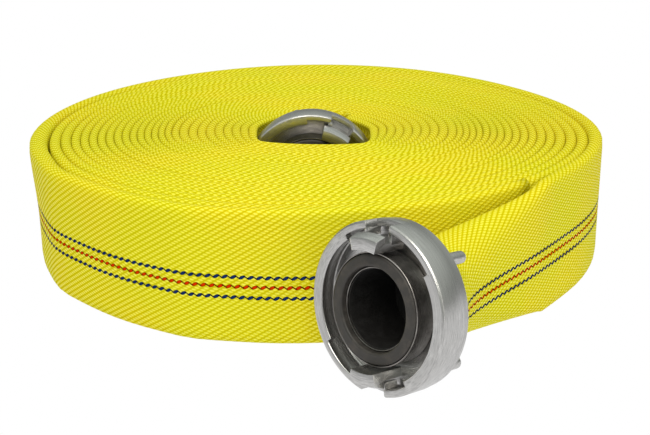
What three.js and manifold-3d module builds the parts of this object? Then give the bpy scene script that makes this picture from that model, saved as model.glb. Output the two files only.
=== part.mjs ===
// A 20 m length of 52 mm lay-flat fire hose, wound into a flat roll, with a quarter-turn lug coupling on
// each end. Millimetres, +Z up. The outer coupling stands on its rim beside the roll and faces -Y; the
// inner one stands in the core. Each coupling's lug ring turns freely on its hose tail.
import * as THREE from 'three';
import { mergeVertices } from 'three/addons/utils/BufferGeometryUtils.js';
import Module from 'manifold-3d';

const wasm = await Module();
wasm.setup();

// ---- driving dimensions ----

const GAP = 0.3; // clearance between faces that touch

// The roll. Its angle is counted from +X, counter-clockwise from above, which is the way the hose winds
// inwards from the outer coupling.
const HOSE_WIDTH = 85; // lay-flat width, so the height of the outer turn
const ROLL_HEIGHT = 83.6; // the other turns have settled a little
const ROLL_RADIUS = 200; // outside of the first turn
const TURN_PITCHES = [9.5, 7.8]; // radial step from the first turn to the second, and on to the third
const PLUNGE = { start: 0.78, end: 0.94 }; // shares of a turn between which it ducks under the one outside it
const PLUNGE_WEIGHTS = [0.95, 0.6]; // share of each step that is made in the plunge
const LEAD_LIFT = 4.2; // how far the lead has left the roll at angle 0
const LEAD_LIFT_ANGLE = 11.8; // degrees to where it touches
const WAVES = [ // tight and slack stretches of the outside, and two corners: degrees, millimetres, degrees
  { at: 8, height: -1.4, spread: 14 },
  { at: 38, height: 1.5, spread: 16 },
  { at: 80, height: -4.6, spread: 24 },
  { at: 137, height: 7, spread: 32 },
  { at: 260, height: 2.2, spread: 6 },
  { at: 294, height: 2, spread: 5 },
];
const EDGE_CHAMFER = 2.5; // rounding of the hose's folded edges

// The core, an oval in line with the inner coupling, squarer in front of its rim than behind.
const CORE_ANGLE = 45; // degrees from the row's axes
const CORE_HALF_X = 59;
const CORE_HALF_Y = 50.5;
const CORE_SHIFT_Y = 1.8;
const CORE_FRONT_POWER = 3;
const CORE_BACK_POWER = 2.3;
const CORE_STEP = 5; // thickness of the innermost turn
const CORE_STEP_ANGLE = 50; // degrees in the core's frame, where the inner lead leaves the wall

// The coupling. Its axis is its own Y, with the rim's front face at 0 and the hose behind it.
const RIM_RADIUS = 47.5;
const RING_DEPTH = 21;
const CHANNEL_DEPTH = 12.4; // from the rim's face to the floor that the mating lugs run over
const FLANGE_RADIUS = 40.2; // inside of the flange that the mating lugs hook behind
const FLANGE_DEPTH = 4.5;
const ENTRY_RADIUS = 43.2; // inside of the rim where the mating lugs enter
const CHANNEL_RADIUS = 43.6;
const STEP_AT = 15; // a shallow step round the outside of the ring
const STEP_DEPTH = 0.6;
const FRONT_CHAMFER = 1;
const BACK_CHAMFER = 0.6;
const ENTRY_ANGLES = [41, 127.5]; // degrees, seen from the front, counter-clockwise from +X
const NOTCH_ANGLES = [84.5, 106]; // the rim is cut away outside each lug
const NOTCH_DEPTH = 9;
const LUG_ANGLES = [82.5, 111];
const LUG_INNER_RADIUS = 33; // 66 mm between the lugs
const LUG_STEM_RADIUS = 38;
const LUG_NOSE_RADIUS = 41.4;
const LUG_REACH = 9.5; // in front of the rim's face
const LUG_NOSE_DEPTH = 6;
const PEG_ANGLES = [50, 140, 230, 320]; // spanner pegs on the back of the ring
const PEG_CIRCLE = 40.8;
const PEG_RADIUS = 3.5;
const PEG_LENGTH = 15.5;

const BORE_RADIUS = 22;
const BORE_LIP = 1.5; // how far the bore's lip stands behind the rim's face
const LIP_RADIUS = 22.8;
const BOSS_RADIUS = 31;
const BOSS_FRONT = -0.8;
const SEAL_OUTER_RADIUS = 30;
const SEAL_FRONT = -1.8;
const SEAL_BACK = 5;
const JOURNAL_RADIUS = 28;
const TAIL_LENGTH = 40;
const TAIL_RADIUS = 25.9;
const TAIL_NOSE = 3; // length of the taper at the tail's end
const BARBS = [28, 34]; // behind the rim's face
const BARB_DEPTH = 0.8;
const BARB_FALL = 1;
const BARB_RISE = 3;
const SNAP_GROOVE = { from: 22.6, to: 24.9, radius: 26.6 };
const TAIL_SHOULDER = 25.3;

const HOSE_START = 25.9; // where the hose begins on the tail
const LINING_OUTER_RADIUS = 27;
const JACKET_RADIUS = 28.7; // outside of the round hose on the tail
const WIRE_RADIUS = 0.9;
const WIRE_TURNS = 2;
const WIRE_PITCH = 1.95;
const WIRE_STARTS = [27.4, 33.4];

// Where the couplings are, from the centre of the roll.
const RING_TILT = 7; // degrees: the outer coupling's face looks slightly upwards
const OUTER_AXIS_X = 204.8;
const OUTER_FACE_Y = -151.7;
const INNER_FACE = { x: -3.6, y: -25.5, z: 49.5 }; // in the core's frame
const INNER_RING_TURN = 34; // degrees that the inner lug ring is turned, clockwise from the front

// The hose between the couplings and the roll, which flattens as it leaves a tail.
const LEAD_SWAY = 13; // how far the outer lead swings towards the roll
const LEAD_FLATTENING = 1.5; // power of the share of the lead's way that is left
const BEND_START = 44; // of the inner hose's turn, behind the rim's face
const BEND_RADIUS = 22;
const BEND_THICKNESS = 36; // of the hose where its turn starts
const BEND_END_THICKNESS = 6;
const WALL_END_ANGLE = 52; // degrees in the core's frame, where the inner lead meets the wall
const WALL_END_INSET = 3.7;
const WALL_END_THICKNESS = 4.4;

const LATHE_STEPS = 32;

// ---- materials ----

const material = (color, roughness, metalness = 0) => new THREE.MeshStandardMaterial({ color, roughness, metalness });
const jacketYellow = material(0xe1dc32, 0.7);
const castAluminium = material(0xb4b2ae, 0.4, 0.9);
const sealRubber = material(0x3a3632, 0.75);
const liningRubber = material(0x1c1b1a, 0.6);
const springSteel = material(0x8a8c90, 0.35, 0.9);
const slideBrass = material(0xb49450, 0.4, 0.8);
const bindingWire = material(0xa8abae, 0.35, 0.9);

// ---- helpers ----

const radians = THREE.MathUtils.degToRad;
const smooth = (x) => THREE.MathUtils.smoothstep(x, 0, 1);

function bare(geometry) {
  geometry.deleteAttribute('normal');
  geometry.deleteAttribute('uv');
  return mergeVertices(geometry, 1e-4);
}

function toSolid(geometry) {
  const merged = bare(geometry);
  return new wasm.Manifold(new wasm.Mesh({
    numProp: 3,
    vertProperties: merged.attributes.position.array,
    triVerts: new Uint32Array(merged.index.array),
  }));
}

function fromSolid(solid) {
  const mesh = solid.getMesh();
  const geometry = new THREE.BufferGeometry();
  geometry.setAttribute('position', new THREE.BufferAttribute(new Float32Array(mesh.vertProperties), 3));
  geometry.setIndex(new THREE.BufferAttribute(new Uint32Array(mesh.triVerts), 1));
  return geometry;
}

function named(name, geometry, surface) {
  const mesh = new THREE.Mesh(geometry, surface);
  mesh.name = name;
  return mesh;
}

// A ring about Y from a closed profile of [radius, y] corners, listed counter-clockwise.
function turned(profile, steps = LATHE_STEPS) {
  const points = [...profile, profile[0]].map(([r, y]) => new THREE.Vector2(r, y));
  return new THREE.LatheGeometry(points, steps);
}

// Part of a ring about Y, between two angles in degrees, seen from the front (from -Y).
function sector(innerRadius, outerRadius, [from, to], yFrom, yTo) {
  const shape = new THREE.Shape();
  shape.absarc(0, 0, outerRadius, radians(from), radians(to), false);
  shape.absarc(0, 0, innerRadius, radians(to), radians(from), true);
  const curveSegments = Math.max(3, Math.round(Math.abs(to - from) / 12));
  const geometry = new THREE.ExtrudeGeometry(shape, { depth: yTo - yFrom, bevelEnabled: false, curveSegments });
  geometry.rotateX(Math.PI / 2);
  geometry.translate(0, yTo, 0);
  return geometry;
}

// The sum over the triangles of each one's volume to the origin: negative where the faces point inwards.
function signedVolume(positions, index) {
  const corner = (i) => new THREE.Vector3().fromArray(positions, 3 * index[i]);
  let volume = 0;
  for (let i = 0; i < index.length; i += 3) {
    volume += corner(i).dot(corner(i + 1).cross(corner(i + 2))) / 6;
  }
  return volume;
}

// A closed skin over a row of sections, each a ring of Vector3 with the same count.
function lofted(sections) {
  const count = sections[0].length;
  const positions = sections.flat().flatMap((p) => [p.x, p.y, p.z]);
  const index = [];
  for (let s = 0; s < sections.length - 1; s++) {
    for (let i = 0; i < count; i++) {
      const a = s * count + i;
      const b = s * count + (i + 1) % count;
      index.push(a, b, b + count, a, b + count, a + count);
    }
  }
  const last = (sections.length - 1) * count;
  for (let i = 1; i < count - 1; i++) {
    index.push(0, i + 1, i, last, last + i, last + i + 1);
  }
  if (signedVolume(positions, index) < 0) {
    index.reverse();
  }
  const geometry = new THREE.BufferGeometry();
  geometry.setAttribute('position', new THREE.Float32BufferAttribute(positions, 3));
  geometry.setIndex(index);
  return geometry;
}

// ---- the roll ----

function waveHeight(angle) {
  return WAVES.reduce((sum, { at, height, spread }) => {
    const away = THREE.MathUtils.euclideanModulo(angle - at + 180, 360) - 180;
    return sum + height * Math.exp(-((away / spread) ** 2));
  }, 0);
}

// Outside radius of the hose after a given angle from where the first turn starts.
function outsideRadius(angle) {
  const turn = Math.min(Math.floor(angle / 360), 1);
  const share = angle / 360 - turn;
  const weight = PLUNGE_WEIGHTS[turn];
  const plunge = smooth((share - PLUNGE.start) / (PLUNGE.end - PLUNGE.start));
  const drop = TURN_PITCHES[turn] * ((1 - weight) * share + weight * plunge);
  return ROLL_RADIUS - (turn === 0 ? 0 : TURN_PITCHES[0]) - drop + waveHeight(angle);
}

// Inside radius of the roll at an angle in the core's frame.
function coreRadius(angle) {
  const x = Math.cos(radians(angle));
  const y = Math.sin(radians(angle));
  let radius = CORE_HALF_X;
  for (let pass = 0; pass < 20; pass++) {
    const across = Math.abs(radius * x) / CORE_HALF_X;
    const along = (radius * y - CORE_SHIFT_Y) / CORE_HALF_Y;
    const power = along < 0 ? CORE_FRONT_POWER : CORE_BACK_POWER;
    radius /= (across ** power + Math.abs(along) ** power) ** (1 / power);
  }
  return radius;
}

function hoseRoll() {
  const steps = 72;
  const coreSteps = 48;
  // The outside and the inside each step back to where they began, across a sliver of this many degrees.
  const outerSeam = 0.1;
  const innerSeam = 0.3;
  const layer = (outsideInset, coreInset, z) => {
    const outer = [];
    for (let i = 0; i <= steps; i++) {
      const angle = i * 360 / steps;
      const radius = outsideRadius(360 + Math.min(angle, 360 - outerSeam)) - outsideInset;
      const at = radians(i === 0 ? outerSeam : angle);
      outer.push(new THREE.Vector3(radius * Math.cos(at), radius * Math.sin(at), z));
    }
    const inner = [];
    for (let i = 0; i <= coreSteps; i++) {
      const share = i / coreSteps;
      const angle = CORE_STEP_ANGLE + 360 * share;
      const radius = coreRadius(angle) + CORE_STEP * 0.5 - CORE_STEP * share + coreInset;
      const at = radians(angle + CORE_ANGLE + (i === 0 ? innerSeam : 0));
      inner.push(new THREE.Vector3(radius * Math.cos(at), radius * Math.sin(at), z));
    }
    return { outer, inner };
  };
  const layers = [
    layer(EDGE_CHAMFER, EDGE_CHAMFER, 0),
    layer(0, 0, EDGE_CHAMFER),
    layer(0, 0, ROLL_HEIGHT - EDGE_CHAMFER),
    layer(EDGE_CHAMFER, EDGE_CHAMFER, ROLL_HEIGHT),
  ];
  const positions = [];
  const index = [];
  for (const { outer, inner } of layers) {
    for (const p of [...outer, ...inner]) {
      positions.push(p.x, p.y, p.z);
    }
  }
  const outerCount = steps + 1;
  const innerCount = coreSteps + 1;
  const stride = outerCount + innerCount;
  for (let l = 0; l < layers.length - 1; l++) {
    for (let i = 0; i < outerCount; i++) {
      const a = l * stride + i;
      const b = l * stride + (i + 1) % outerCount;
      index.push(a, b, b + stride, a, b + stride, a + stride);
    }
    for (let i = 0; i < innerCount; i++) {
      const a = l * stride + outerCount + i;
      const b = l * stride + outerCount + (i + 1) % innerCount;
      index.push(a, b + stride, b, a, a + stride, b + stride);
    }
  }
  const flat = (points) => points.map((p) => new THREE.Vector2(p.x, p.y));
  for (const [l, up] of [[0, false], [layers.length - 1, true]]) {
    const { outer, inner } = layers[l];
    const faces = THREE.ShapeUtils.triangulateShape(flat(outer), [flat(inner)]);
    for (const [a, b, c] of faces) {
      const base = l * stride;
      index.push(base + a, base + (up ? b : c), base + (up ? c : b));
    }
  }
  const geometry = new THREE.BufferGeometry();
  geometry.setAttribute('position', new THREE.Float32BufferAttribute(positions, 3));
  geometry.setIndex(index);
  return named('hose_roll', geometry, jacketYellow);
}

// Corners of the flat hose's section: across its thickness (outwards positive) and up.
function flatSection(thickness, width) {
  const side = thickness / 2;
  const end = width / 2;
  const cut = EDGE_CHAMFER;
  return [
    [side, -end + cut], [side, end - cut], [side - cut, end], [-side + cut, end],
    [-side, end - cut], [-side, -end + cut], [-side + cut, -end], [side - cut, -end],
  ];
}

const turnThickness = (angle) => outsideRadius(angle) - outsideRadius(angle + 360) - GAP;
const leadLift = (angle) => LEAD_LIFT * Math.max(0, 1 - angle / LEAD_LIFT_ANGLE) ** 2;

function hoseOuterTurn() {
  const steps = 90;
  const end = 360 - 0.2; // short of a whole turn, so that it keeps off the step in the roll's outside
  const sections = [];
  for (let i = 0; i <= steps; i++) {
    const angle = end * i / steps;
    const thickness = turnThickness(angle);
    const middle = outsideRadius(angle) + leadLift(angle) - thickness / 2;
    const outwards = new THREE.Vector3(Math.cos(radians(angle)), Math.sin(radians(angle)), 0);
    sections.push(flatSection(thickness, HOSE_WIDTH).map(([out, up]) => (
      outwards.clone().multiplyScalar(middle + out).setZ(HOSE_WIDTH / 2 + up))));
  }
  return named('hose_outer_turn', lofted(sections), jacketYellow);
}

// ---- the hose between a coupling and the roll ----

// The hose goes from round to flat with its girth kept, by its thickness.
function neckSection(thickness, sides) {
  const round = 2 * JACKET_RADIUS;
  const width = HOSE_WIDTH * (1 - (thickness / round) ** 2 * (1 - round / HOSE_WIDTH));
  const power = THREE.MathUtils.lerp(2, 5, smooth(1 - thickness / round));
  const corners = [];
  for (let i = 0; i < sides; i++) {
    const angle = 2 * Math.PI * i / sides;
    const c = Math.cos(angle);
    const s = Math.sin(angle);
    corners.push([
      thickness / 2 * Math.sign(c) * Math.abs(c) ** (2 / power),
      width / 2 * Math.sign(s) * Math.abs(s) ** (2 / power),
    ]);
  }
  return corners;
}

// A neck along a row of stations {at, heading, thickness}, hollow where the tail and its lining are.
function neck(name, stations, cavity) {
  const sections = stations.map(({ at, heading, thickness }) => {
    const forwards = heading.clone().normalize();
    const side = new THREE.Vector3(0, 0, 1).cross(forwards).negate().normalize();
    const up = side.clone().cross(forwards).normalize();
    return neckSection(thickness, 24).map(([out, rise]) => (
      at.clone().addScaledVector(side, out).addScaledVector(up, rise)));
  });
  return named(name, fromSolid(toSolid(lofted(sections)).subtract(cavity)), jacketYellow);
}

// The space that the tail and the lining take in the hose, in the coupling's frame.
function neckCavity() {
  const profile = [[0, HOSE_START - 2], [LINING_OUTER_RADIUS + GAP, HOSE_START - 2],
    [LINING_OUTER_RADIUS + GAP, TAIL_LENGTH + 1], [0, TAIL_LENGTH + 1]];
  const points = profile.map(([r, y]) => new THREE.Vector2(r, y));
  return new THREE.LatheGeometry(points, 24);
}

// ---- a coupling, in its own frame ----

function lugRing(name) {
  const back = RING_DEPTH;
  const profile = [
    [JOURNAL_RADIUS + 0.4, CHANNEL_DEPTH], [CHANNEL_RADIUS, CHANNEL_DEPTH], [CHANNEL_RADIUS, FLANGE_DEPTH],
    [FLANGE_RADIUS, FLANGE_DEPTH], [FLANGE_RADIUS, 0], [RIM_RADIUS - FRONT_CHAMFER, 0],
    [RIM_RADIUS, FRONT_CHAMFER], [RIM_RADIUS, STEP_AT], [RIM_RADIUS - STEP_DEPTH, STEP_AT],
    [RIM_RADIUS - STEP_DEPTH, back - BACK_CHAMFER], [RIM_RADIUS - STEP_DEPTH - BACK_CHAMFER, back],
    [JOURNAL_RADIUS + 0.4, back],
  ];
  let solid = toSolid(turned(profile, 48));
  for (const half of [0, 180]) {
    const turn = (angles) => angles.map((angle) => angle + half);
    solid = solid.subtract(toSolid(sector(30, ENTRY_RADIUS, turn(ENTRY_ANGLES), -1, FLANGE_DEPTH + 0.1)));
    solid = solid.subtract(toSolid(sector(30, RIM_RADIUS + 5, turn(NOTCH_ANGLES), -1, NOTCH_DEPTH)));
    const stem = sector(LUG_INNER_RADIUS, LUG_STEM_RADIUS, turn(LUG_ANGLES), -LUG_REACH, CHANNEL_DEPTH + 1);
    const nose = sector(LUG_STEM_RADIUS - 1, LUG_NOSE_RADIUS, turn(LUG_ANGLES), -LUG_REACH,
      -LUG_REACH + LUG_NOSE_DEPTH);
    solid = solid.add(toSolid(stem)).add(toSolid(nose));
  }
  for (const angle of PEG_ANGLES) {
    const peg = new THREE.CylinderGeometry(PEG_RADIUS, PEG_RADIUS, PEG_LENGTH + 1, 10);
    peg.translate(PEG_CIRCLE * Math.cos(radians(angle)), RING_DEPTH + (PEG_LENGTH - 1) / 2,
      PEG_CIRCLE * Math.sin(radians(angle)));
    solid = solid.add(toSolid(peg));
  }
  return named(name, fromSolid(solid), castAluminium);
}

function hoseTail(name) {
  const { from, to, radius } = SNAP_GROOVE;
  const profile = [
    [BORE_RADIUS, BORE_LIP], [LIP_RADIUS, BORE_LIP], [LIP_RADIUS, SEAL_BACK + GAP],
    [SEAL_OUTER_RADIUS + GAP, SEAL_BACK + GAP], [SEAL_OUTER_RADIUS + GAP, BOSS_FRONT], [BOSS_RADIUS, BOSS_FRONT],
    [BOSS_RADIUS, CHANNEL_DEPTH - GAP], [JOURNAL_RADIUS, CHANNEL_DEPTH - GAP], [JOURNAL_RADIUS, from],
    [radius, from], [radius, to], [JOURNAL_RADIUS, to], [JOURNAL_RADIUS, TAIL_SHOULDER],
    [TAIL_RADIUS, TAIL_SHOULDER],
    ...BARBS.flatMap((at, i) => [
      ...(i > 0 ? [[TAIL_RADIUS - BARB_DEPTH, at - BARB_RISE]] : []),
      [TAIL_RADIUS, at], [TAIL_RADIUS - BARB_DEPTH, at + BARB_FALL],
    ]),
    [TAIL_RADIUS - BARB_DEPTH, TAIL_LENGTH - TAIL_NOSE], [TAIL_RADIUS - 2 * BARB_DEPTH, TAIL_LENGTH],
    [BORE_RADIUS, TAIL_LENGTH],
  ];
  return named(name, turned(profile), castAluminium);
}

function faceSeal(name) {
  const inner = LIP_RADIUS + GAP + 0.1;
  const profile = [
    [inner, SEAL_FRONT + 1], [inner + 1, SEAL_FRONT], [SEAL_OUTER_RADIUS - 1, SEAL_FRONT],
    [SEAL_OUTER_RADIUS - 0.1, SEAL_FRONT + 1], [SEAL_OUTER_RADIUS - 0.1, SEAL_BACK], [inner, SEAL_BACK],
  ];
  return named(name, turned(profile), sealRubber);
}

function slideRing(name) {
  const inner = JOURNAL_RADIUS + 0.3;
  const [front, back] = [RING_DEPTH + GAP, SNAP_GROOVE.from - 0.1];
  return named(name, turned([[inner, front], [33, front], [33, back], [inner, back]]), slideBrass);
}

// An open spring ring in the tail's groove, its two ends apart at the top.
function snapRing(name) {
  const { from, to, radius } = SNAP_GROOVE;
  const geometry = sector(radius + 0.3, 30.6, [100, 440], from + GAP, to - GAP);
  return named(name, geometry, springSteel);
}

function hoseLining(name) {
  const inner = TAIL_RADIUS + 0.3;
  const profile = [[inner, HOSE_START - 0.3], [LINING_OUTER_RADIUS, HOSE_START - 0.3],
    [LINING_OUTER_RADIUS, TAIL_LENGTH + 0.6], [inner, TAIL_LENGTH + 0.6]];
  return named(name, turned(profile, 24), liningRubber);
}

class Helix extends THREE.Curve {
  constructor(radius, turns, pitch, start) {
    super();
    Object.assign(this, { radius, turns, pitch, start });
  }

  getPoint(share, target = new THREE.Vector3()) {
    const angle = 2 * Math.PI * this.turns * share;
    const y = this.start + this.pitch * this.turns * share;
    return target.set(this.radius * Math.cos(angle), y, this.radius * Math.sin(angle));
  }
}

function bindingWireTurns(name, start) {
  const sides = 5;
  const shape = new THREE.Shape();
  for (let i = 0; i < sides; i++) {
    const angle = 2 * Math.PI * i / sides;
    const [x, y] = [WIRE_RADIUS * Math.cos(angle), WIRE_RADIUS * Math.sin(angle)];
    i === 0 ? shape.moveTo(x, y) : shape.lineTo(x, y);
  }
  shape.closePath();
  const centre = JACKET_RADIUS + WIRE_RADIUS + 0.8;
  const path = new Helix(centre, WIRE_TURNS, WIRE_PITCH, start);
  const geometry = new THREE.ExtrudeGeometry(shape, { steps: WIRE_TURNS * 16, extrudePath: path });
  return named(name, geometry, bindingWire);
}

function coupling(side, ringTurn) {
  const group = new THREE.Group();
  const ring = lugRing(`${side}_lug_ring`);
  ring.rotation.y = radians(ringTurn);
  group.add(
    ring,
    hoseTail(`${side}_hose_tail`),
    faceSeal(`${side}_face_seal`),
    slideRing(`${side}_slide_ring`),
    snapRing(`${side}_snap_ring`),
    hoseLining(`${side}_hose_lining`),
    bindingWireTurns(`${side}_binding_wire_front`, WIRE_STARTS[0]),
    bindingWireTurns(`${side}_binding_wire_rear`, WIRE_STARTS[1]),
  );
  return group;
}

// ---- the whole ----

// The outer coupling stands on the back edge of its rim, tilted so that its hose meets the roll's middle.
const tilt = radians(RING_TILT);
const outer = coupling('outer', 0);
outer.position.set(OUTER_AXIS_X, OUTER_FACE_Y,
  (RIM_RADIUS - STEP_DEPTH) * Math.cos(tilt) + (RING_DEPTH - BACK_CHAMFER) * Math.sin(tilt));
outer.rotation.x = -tilt;
outer.updateMatrix();

function outerNeck() {
  const along = (y) => new THREE.Vector3(0, y, 0).applyMatrix4(outer.matrix);
  const axis = new THREE.Vector3(0, 1, 0).transformDirection(outer.matrix);
  const start = along(TAIL_LENGTH + 2);
  const thicknessAtEnd = turnThickness(0);
  const end = new THREE.Vector3(outsideRadius(0) + LEAD_LIFT - thicknessAtEnd / 2, -GAP, HOSE_WIDTH / 2);
  const tangent = radians(LEAD_LIFT_ANGLE);
  const headingAtEnd = new THREE.Vector3(-Math.sin(tangent), Math.cos(tangent), 0);
  const handle = (end.y - start.y) / 4;
  const sway = new THREE.Vector3(-LEAD_SWAY, 0, 0);
  const stations = [HOSE_START, TAIL_LENGTH / 2 + HOSE_START / 2].map((y) => (
    { at: along(y), heading: axis, thickness: 2 * JACKET_RADIUS }));
  const route = new THREE.CubicBezierCurve3(start, start.clone().addScaledVector(axis, handle).add(sway),
    end.clone().addScaledVector(headingAtEnd, -handle), end);
  const acrossTheTurn = new THREE.Vector3(0, 1, 0); // the lead ends flat against the outer turn's first section
  const steps = 12;
  for (let i = 0; i <= steps; i++) {
    const share = i / steps;
    const thickness = THREE.MathUtils.lerp(thicknessAtEnd, 2 * JACKET_RADIUS, (1 - share) ** LEAD_FLATTENING);
    stations.push({ at: route.getPoint(share), heading: axis.clone().lerp(acrossTheTurn, share), thickness });
  }
  return neck('outer_hose_neck', stations, toSolid(neckCavity().applyMatrix4(outer.matrix)));
}

// The inner coupling stands in the core, and its hose turns sharply to the wall behind it.
const inner = coupling('inner', INNER_RING_TURN);
inner.position.set(INNER_FACE.x, INNER_FACE.y, INNER_FACE.z);
inner.updateMatrix();

function innerNeck() {
  const wallPoint = (angle, inset) => {
    const radius = coreRadius(angle) - inset;
    return new THREE.Vector3(radius * Math.cos(radians(angle)), radius * Math.sin(radians(angle)), INNER_FACE.z);
  };
  const onTail = [HOSE_START, TAIL_LENGTH / 2 + HOSE_START / 2, TAIL_LENGTH + 1].map((y) => (
    { at: new THREE.Vector3(INNER_FACE.x, INNER_FACE.y + y, INNER_FACE.z), heading: new THREE.Vector3(0, 1, 0),
      thickness: 2 * JACKET_RADIUS }));
  const toWall = [];
  const bendSteps = 7;
  for (let i = 0; i <= bendSteps; i++) {
    const share = i / bendSteps;
    const angle = Math.PI / 2 * share;
    toWall.push({
      at: new THREE.Vector3(INNER_FACE.x + BEND_RADIUS * (1 - Math.cos(angle)),
        INNER_FACE.y + BEND_START + BEND_RADIUS * Math.sin(angle), INNER_FACE.z),
      heading: new THREE.Vector3(Math.sin(angle), Math.cos(angle), 0),
      thickness: THREE.MathUtils.lerp(BEND_THICKNESS, BEND_END_THICKNESS, smooth(share)),
    });
  }
  toWall.push({
    at: wallPoint(WALL_END_ANGLE, WALL_END_INSET),
    heading: wallPoint(WALL_END_ANGLE - 2, 0).sub(wallPoint(WALL_END_ANGLE + 6, 0)).normalize(),
    thickness: WALL_END_THICKNESS,
  });
  toWall.forEach(({ at }, i) => {
    at.z = THREE.MathUtils.lerp(INNER_FACE.z, HOSE_WIDTH / 2, smooth((i + 1) / toWall.length));
  });
  return neck('inner_hose_neck', [...onTail, ...toWall], toSolid(neckCavity().applyMatrix4(inner.matrix)));
}

const core = new THREE.Group();
core.rotation.z = radians(CORE_ANGLE);
core.add(inner, innerNeck());

// The origin is under the middle of the whole object's box.
const fireHose = new THREE.Group();
fireHose.add(hoseRoll(), hoseOuterTurn(), outerNeck(), outer, core);
fireHose.updateMatrixWorld(true);
const box = new THREE.Box3().setFromObject(fireHose, true);
const middle = box.getCenter(new THREE.Vector3());
fireHose.position.set(-middle.x, -middle.y, -box.min.z);

export default fireHose;
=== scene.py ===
"""The rolled fire hose in close detail: the wound jacket with its weave and three marker threads, and the two
quarter-turn lug couplings. The constants are in millimetres and degrees, and every object is in metres."""

import math

import bmesh
import bpy
import numpy as np
from mathutils import Matrix, Vector


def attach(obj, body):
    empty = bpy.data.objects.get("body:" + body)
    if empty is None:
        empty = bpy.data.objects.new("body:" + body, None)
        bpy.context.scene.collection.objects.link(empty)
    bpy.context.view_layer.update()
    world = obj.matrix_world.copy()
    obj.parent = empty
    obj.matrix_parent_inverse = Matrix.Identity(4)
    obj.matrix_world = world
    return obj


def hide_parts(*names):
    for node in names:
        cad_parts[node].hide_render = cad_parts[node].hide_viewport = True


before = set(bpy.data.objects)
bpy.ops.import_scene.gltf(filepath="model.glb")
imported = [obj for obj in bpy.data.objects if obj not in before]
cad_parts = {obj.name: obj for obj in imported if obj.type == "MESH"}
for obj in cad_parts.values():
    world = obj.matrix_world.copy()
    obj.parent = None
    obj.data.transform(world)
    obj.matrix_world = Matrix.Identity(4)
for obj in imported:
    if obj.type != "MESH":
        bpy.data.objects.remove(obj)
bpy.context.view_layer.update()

MM = 0.001

# ---- where things are, as the CAD model has them ----

ROLL_CENTRE = Vector((-25.689, 1.377, 0))
HOSE_WIDTH = 85
ROLL_RADIUS = 200
JACKET_RADIUS = 28.7  # outside of the round hose on a tail
LINING_RADIUS = 27.2  # inside of its jacket there
HOSE_START = 25.9  # behind the rim's face
TAIL_LENGTH = 40

OUTER_FACE = Vector((179.111, -150.323, 49.037))
OUTER_TILT = 7  # degrees
INNER_FACE = Vector((-10.203, -19.2, 49.5))
INNER_YAW = 45  # degrees
INNER_RING_TURN = 34  # degrees, clockwise from the front

LEAD_LIFT = 4.2  # how far the lead has left the roll at angle 0
LEAD_LIFT_ANGLE = 11.8  # where it touches
LEAD_SWAY = 13  # how far it swings towards the roll behind the coupling
LEAD_FLATTENING = 1.5  # powers of the share of its way that is left
LEAD_WIDENING = 0.8
LEAD_STEPS = 40
WAVES = [  # angle, height and spread of the outside's tight and slack stretches
    (8, -1.4, 14),
    (38, 1.5, 16),
    (80, -4.6, 24),
    (137, 7, 32),
]
CORNERS = [(260, 2.2, 6), (294, 2, 5)]

CORE_ANGLE = 45  # the core is an oval in line with the inner coupling
CORE_HALF_X = 59
CORE_HALF_Y = 50.5
CORE_SHIFT_Y = 1.8
CORE_FRONT_POWER = 3
CORE_BACK_POWER = 2.3
CORE_STEP = 5  # thickness of the innermost turn
CORE_STEP_ANGLE = 50  # in the core's frame, where the inner lead leaves the wall
BEND_START = 44  # of the inner lead's turn, behind the rim's face
BEND_RADIUS = 22
BEND_THICKNESS = 36  # of the hose where its turn starts
BEND_STEPS = 14
BEND_RISE_START = 1 / 8  # share of its rise to the middle of the roll that is done there
BEND_ROUND = 0.65  # share of the turn after which the hose is flat

# ---- the winding ----

TURNS = 26 + (CORE_ANGLE + CORE_STEP_ANGLE) / 360  # from the outside to where the inner lead leaves the wall
OUTER_PITCHES = [9.5, 7.8, 7.2, 6.9, 6.1, 6.0, 5.85, 5.75, 5.6, 5.5, 5.4]  # steps from turn to turn
INNER_TAPER = 1.1  # how much thinner the innermost turn lies than the twelfth
PLUNGE_START = 0.78  # shares of a turn between which it ducks under the one outside it
PLUNGE_END = 0.94
PLUNGE_WEIGHTS = [0.95, 0.75]  # shares of the step made there, by the first turn and by the next ones
PLUNGE_FADE = 4  # turns
WAVE_FADE = 12  # turns until the roll is round
CORNER_FADE = 3
SHIFT = (235, 1.7, 7)  # angle and distance that the middle turns lie off centre, and the turns it takes
OUTER_TURN_THICKNESS = [10, 7.6]  # the two slack turns don't fill their pitch
SETTLING = 1.75  # how much lower the inner turns' upper edges are
SETTLING_START = 0.4  # turns
BACK = (137, 1, 50)  # angle, weight and spread of the side where the edges are more level
BACK_SETTLING = 0.5  # how much lower the outer turn is there
BACK_LEVELLING = 0.45  # share of the settling that the inner turns lack there
RIPPLES = [  # the edges' unevenness: height, radians per turn, its swing and the swing's pace round the roll
    (0.35, 2.4, 2.1, 0.7),
    (0.3, 5.3, 3, 1.01),
]
STEPS_PER_TURN = 100

# The hose's folds: their radius, its limit as a share of the thickness, and how it grows on a thicker hose.
FOLD_RADIUS = 3.2
FOLD_LIMIT = 0.46
FOLD_GROWTH = 0.4
FOLD_GROWTH_START = 7

# The outer turn's upper edge flares out on one side, and its lower edge where the lead meets the roll. The
# innermost turns' upper edges lean in over the coupling.
FLARE = (237, 3, 24)
FLARE_START = 0.35  # shares of the height
FOOT = (8, 3.5, 14)
FOOT_TOP = 0.45
LEAN_START = 0.66
LEANING_TURNS = 10
LEAN_SHIFT_X = -1  # the oval inside the leaning edges
LEAN_SHIFT_Y = -3.85
LEAN_HALF_X = 39.5
LEAN_HALF_Y = 44.85
LEAN_FRONT_POWER = 6
LEAN_BACK_POWER = 1.45

# ---- the camera ----

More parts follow.
